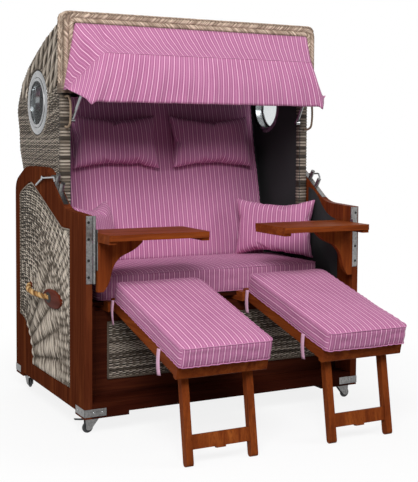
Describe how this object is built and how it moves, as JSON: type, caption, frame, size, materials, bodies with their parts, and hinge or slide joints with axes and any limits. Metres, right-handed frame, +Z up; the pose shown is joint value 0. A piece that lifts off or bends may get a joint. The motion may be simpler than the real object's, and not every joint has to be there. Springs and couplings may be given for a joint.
{
  "type": "hooded beach chair",
  "caption": "Two-seat hooded beach chair on casters: wooden box, reclining wicker hood with awning, side tables, pull-out footrests and striped cushions.",
  "frame": {"origin": "on the floor under the middle of the chair's overall box", "axes": "+X to the right of a viewer in front of the chair, +Y to the rear, +Z up; left and right in names are that viewer's"},
  "size_m": [1.3048, 1.445, 1.595],
  "materials": {
    "wood": "mahogany-stained hardwood under a satin oil finish",
    "wicker": "flat and round synthetic wicker strands in mixed grey, beige and brown",
    "striped_fabric": "woven outdoor cloth, mauve pink with thin pale stripes",
    "dark_lining": "charcoal lining cloth over a board",
    "polished_steel": "polished stainless steel",
    "zinc_steel": "bright zinc-plated steel",
    "black_rubber": "dark grey rubber and black lacquer",
    "pane_glass": "clear pane with a metal bezel",
    "rope": "tan wound rope on brown wood"
  },
  "bodies": {
    "box": {"cheek_left": "wood", "cheek_right": "wood", "cheek_wicker_left": "wicker", "cheek_wicker_right": "wicker", "front_rail": "wood", "rear_panel": "wood", "seat_board": "wood", "front_panel_frame": "wood", "front_panel_wicker": "wicker", "footrest_guide_left": "wood", "footrest_guide_right": "wood", "recline_rail_left": "zinc_steel", "recline_rail_right": "zinc_steel", "carry_handle_left": "rope", "carry_handle_right": "rope", "table_hinge_left": "zinc_steel", "table_hinge_right": "zinc_steel", "seat_cushion": "striped_fabric", "scatter_pillow_left": "striped_fabric", "scatter_pillow_right": "striped_fabric"},
    "hood": {"hood_side_left": "wicker", "hood_side_right": "wicker", "hood_back": "wicker", "hood_rim": "wicker", "back_board": "dark_lining", "back_cushion": "striped_fabric", "neck_pillow_left": "striped_fabric", "neck_pillow_right": "striped_fabric", "porthole_ring_left": "polished_steel", "porthole_ring_right": "polished_steel", "rope_loop_left": "rope", "rope_loop_right": "rope"},
    "bow": {"awning_bow": "zinc_steel", "awning": "striped_fabric"},
    "pane_left": {"porthole_pane_left": "pane_glass"},
    "pane_right": {"porthole_pane_right": "pane_glass"},
    "lever_left": {"lock_lever_left": "polished_steel"},
    "lever_right": {"lock_lever_right": "polished_steel"},
    "table_left": {"table_top_left": "wood", "table_bracket_left": "wood", "table_leaf_left": "zinc_steel"},
    "table_right": {"table_top_right": "wood", "table_bracket_right": "wood", "table_leaf_right": "zinc_steel"},
    "footrest_left": {"footrest_frame_left": "wood", "footrest_cushion_left": "striped_fabric"},
    "legs_left": {"footrest_legs_left": "wood"},
    "footrest_right": {"footrest_frame_right": "wood", "footrest_cushion_right": "striped_fabric"},
    "legs_right": {"footrest_legs_right": "wood"},
    "swivel_front_left": {"caster_fork_front_left": "zinc_steel"},
    "wheel_front_left": {"caster_wheel_front_left": "black_rubber"},
    "swivel_front_right": {"caster_fork_front_right": "zinc_steel"},
    "wheel_front_right": {"caster_wheel_front_right": "black_rubber"},
    "swivel_rear_left": {"caster_fork_rear_left": "zinc_steel"},
    "wheel_rear_left": {"caster_wheel_rear_left": "black_rubber"},
    "swivel_rear_right": {"caster_fork_rear_right": "zinc_steel"},
    "wheel_rear_right": {"caster_wheel_rear_right": "black_rubber"},
    "brake_left": {"brake_lever_left": "black_rubber"},
    "brake_right": {"brake_lever_right": "black_rubber"}
  },
  "joints": [
    {"name": "hood_recline", "type": "hinge", "parent": "box", "child": "hood", "pos_m": [0, 0.35946, 0.58], "axis": [-1, 0, 0], "range_deg": [0, 40]},
    {"name": "awning_swing", "type": "hinge", "parent": "hood", "child": "bow", "pos_m": [0, 0.15446, 1.17], "axis": [-1, 0, 0], "range_deg": [-40, 45], "deforming": ["awning"]},
    {"name": "porthole_left", "type": "hinge", "parent": "hood", "child": "pane_left", "pos_m": [-0.5843, 0.53834, 1.29201], "axis": [0, 0.4478, -0.8942], "range_deg": [0, 90]},
    {"name": "porthole_right", "type": "hinge", "parent": "hood", "child": "pane_right", "pos_m": [0.5843, 0.53834, 1.29201], "axis": [0, -0.4478, 0.8942], "range_deg": [0, 90]},
    {"name": "lock_lever_left", "type": "hinge", "parent": "box", "child": "lever_left", "pos_m": [-0.618, 0.25746, 0.937], "axis": [-1, 0, 0], "range_deg": [0, 15]},
    {"name": "lock_lever_right", "type": "hinge", "parent": "box", "child": "lever_right", "pos_m": [0.618, 0.25746, 0.937], "axis": [-1, 0, 0], "range_deg": [0, 15]},
    {"name": "table_left", "type": "hinge", "parent": "box", "child": "table_left", "pos_m": [-0.573, -0.20654, 0.691], "axis": [0, 0, -1], "range_deg": [0, 90]},
    {"name": "table_right", "type": "hinge", "parent": "box", "child": "table_right", "pos_m": [0.573, -0.20654, 0.691], "axis": [0, 0, 1], "range_deg": [0, 90]},
    {"name": "footrest_left", "type": "hinge", "parent": "box", "child": "footrest_left", "pos_m": [-0.29, -0.11254, 0.468], "axis": [-1, 0, 0], "range_deg": [0, 14]},
    {"name": "legs_left", "type": "hinge", "parent": "footrest_left", "child": "legs_left", "pos_m": [-0.29, -0.61854, 0.322], "axis": [1, 0, 0], "range_deg": [0, 110]},
    {"name": "footrest_right", "type": "hinge", "parent": "box", "child": "footrest_right", "pos_m": [0.29, -0.11254, 0.468], "axis": [-1, 0, 0], "range_deg": [0, 14]},
    {"name": "legs_right", "type": "hinge", "parent": "footrest_right", "child": "legs_right", "pos_m": [0.29, -0.61854, 0.322], "axis": [1, 0, 0], "range_deg": [0, 110]},
    {"name": "swivel_front_left", "type": "hinge", "parent": "box", "child": "swivel_front_left", "pos_m": [-0.567, -0.15554, 0.05], "axis": [0, 0, 1], "continuous": true},
    {"name": "wheel_front_left", "type": "hinge", "parent": "swivel_front_left", "child": "wheel_front_left", "pos_m": [-0.582, -0.15554, 0.021], "axis": [0, 1, 0], "continuous": true},
    {"name": "swivel_front_right", "type": "hinge", "parent": "box", "child": "swivel_front_right", "pos_m": [0.567, -0.15554, 0.05], "axis": [0, 0, 1], "continuous": true},
    {"name": "wheel_front_right", "type": "hinge", "parent": "swivel_front_right", "child": "wheel_front_right", "pos_m": [0.582, -0.15554, 0.021], "axis": [0, 1, 0], "continuous": true},
    {"name": "swivel_rear_left", "type": "hinge", "parent": "box", "child": "swivel_rear_left", "pos_m": [-0.567, 0.61246, 0.05], "axis": [0, 0, 1], "continuous": true},
    {"name": "wheel_rear_left", "type": "hinge", "parent": "swivel_rear_left", "child": "wheel_rear_left", "pos_m": [-0.567, 0.59746, 0.021], "axis": [1, 0, 0], "continuous": true},
    {"name": "swivel_rear_right", "type": "hinge", "parent": "box", "child": "swivel_rear_right", "pos_m": [0.567, 0.61246, 0.05], "axis": [0, 0, 1], "continuous": true},
    {"name": "wheel_rear_right", "type": "hinge", "parent": "swivel_rear_right", "child": "wheel_rear_right", "pos_m": [0.567, 0.59746, 0.021], "axis": [1, 0, 0], "continuous": true},
    {"name": "brake_left", "type": "hinge", "parent": "swivel_front_left", "child": "brake_left", "pos_m": [-0.5933, -0.15554, 0.0517], "axis": [0, -1, 0], "range_deg": [0, 15]},
    {"name": "brake_right", "type": "hinge", "parent": "swivel_front_right", "child": "brake_right", "pos_m": [0.5933, -0.15554, 0.0517], "axis": [0, 1, 0], "range_deg": [0, 15]}
  ]
}
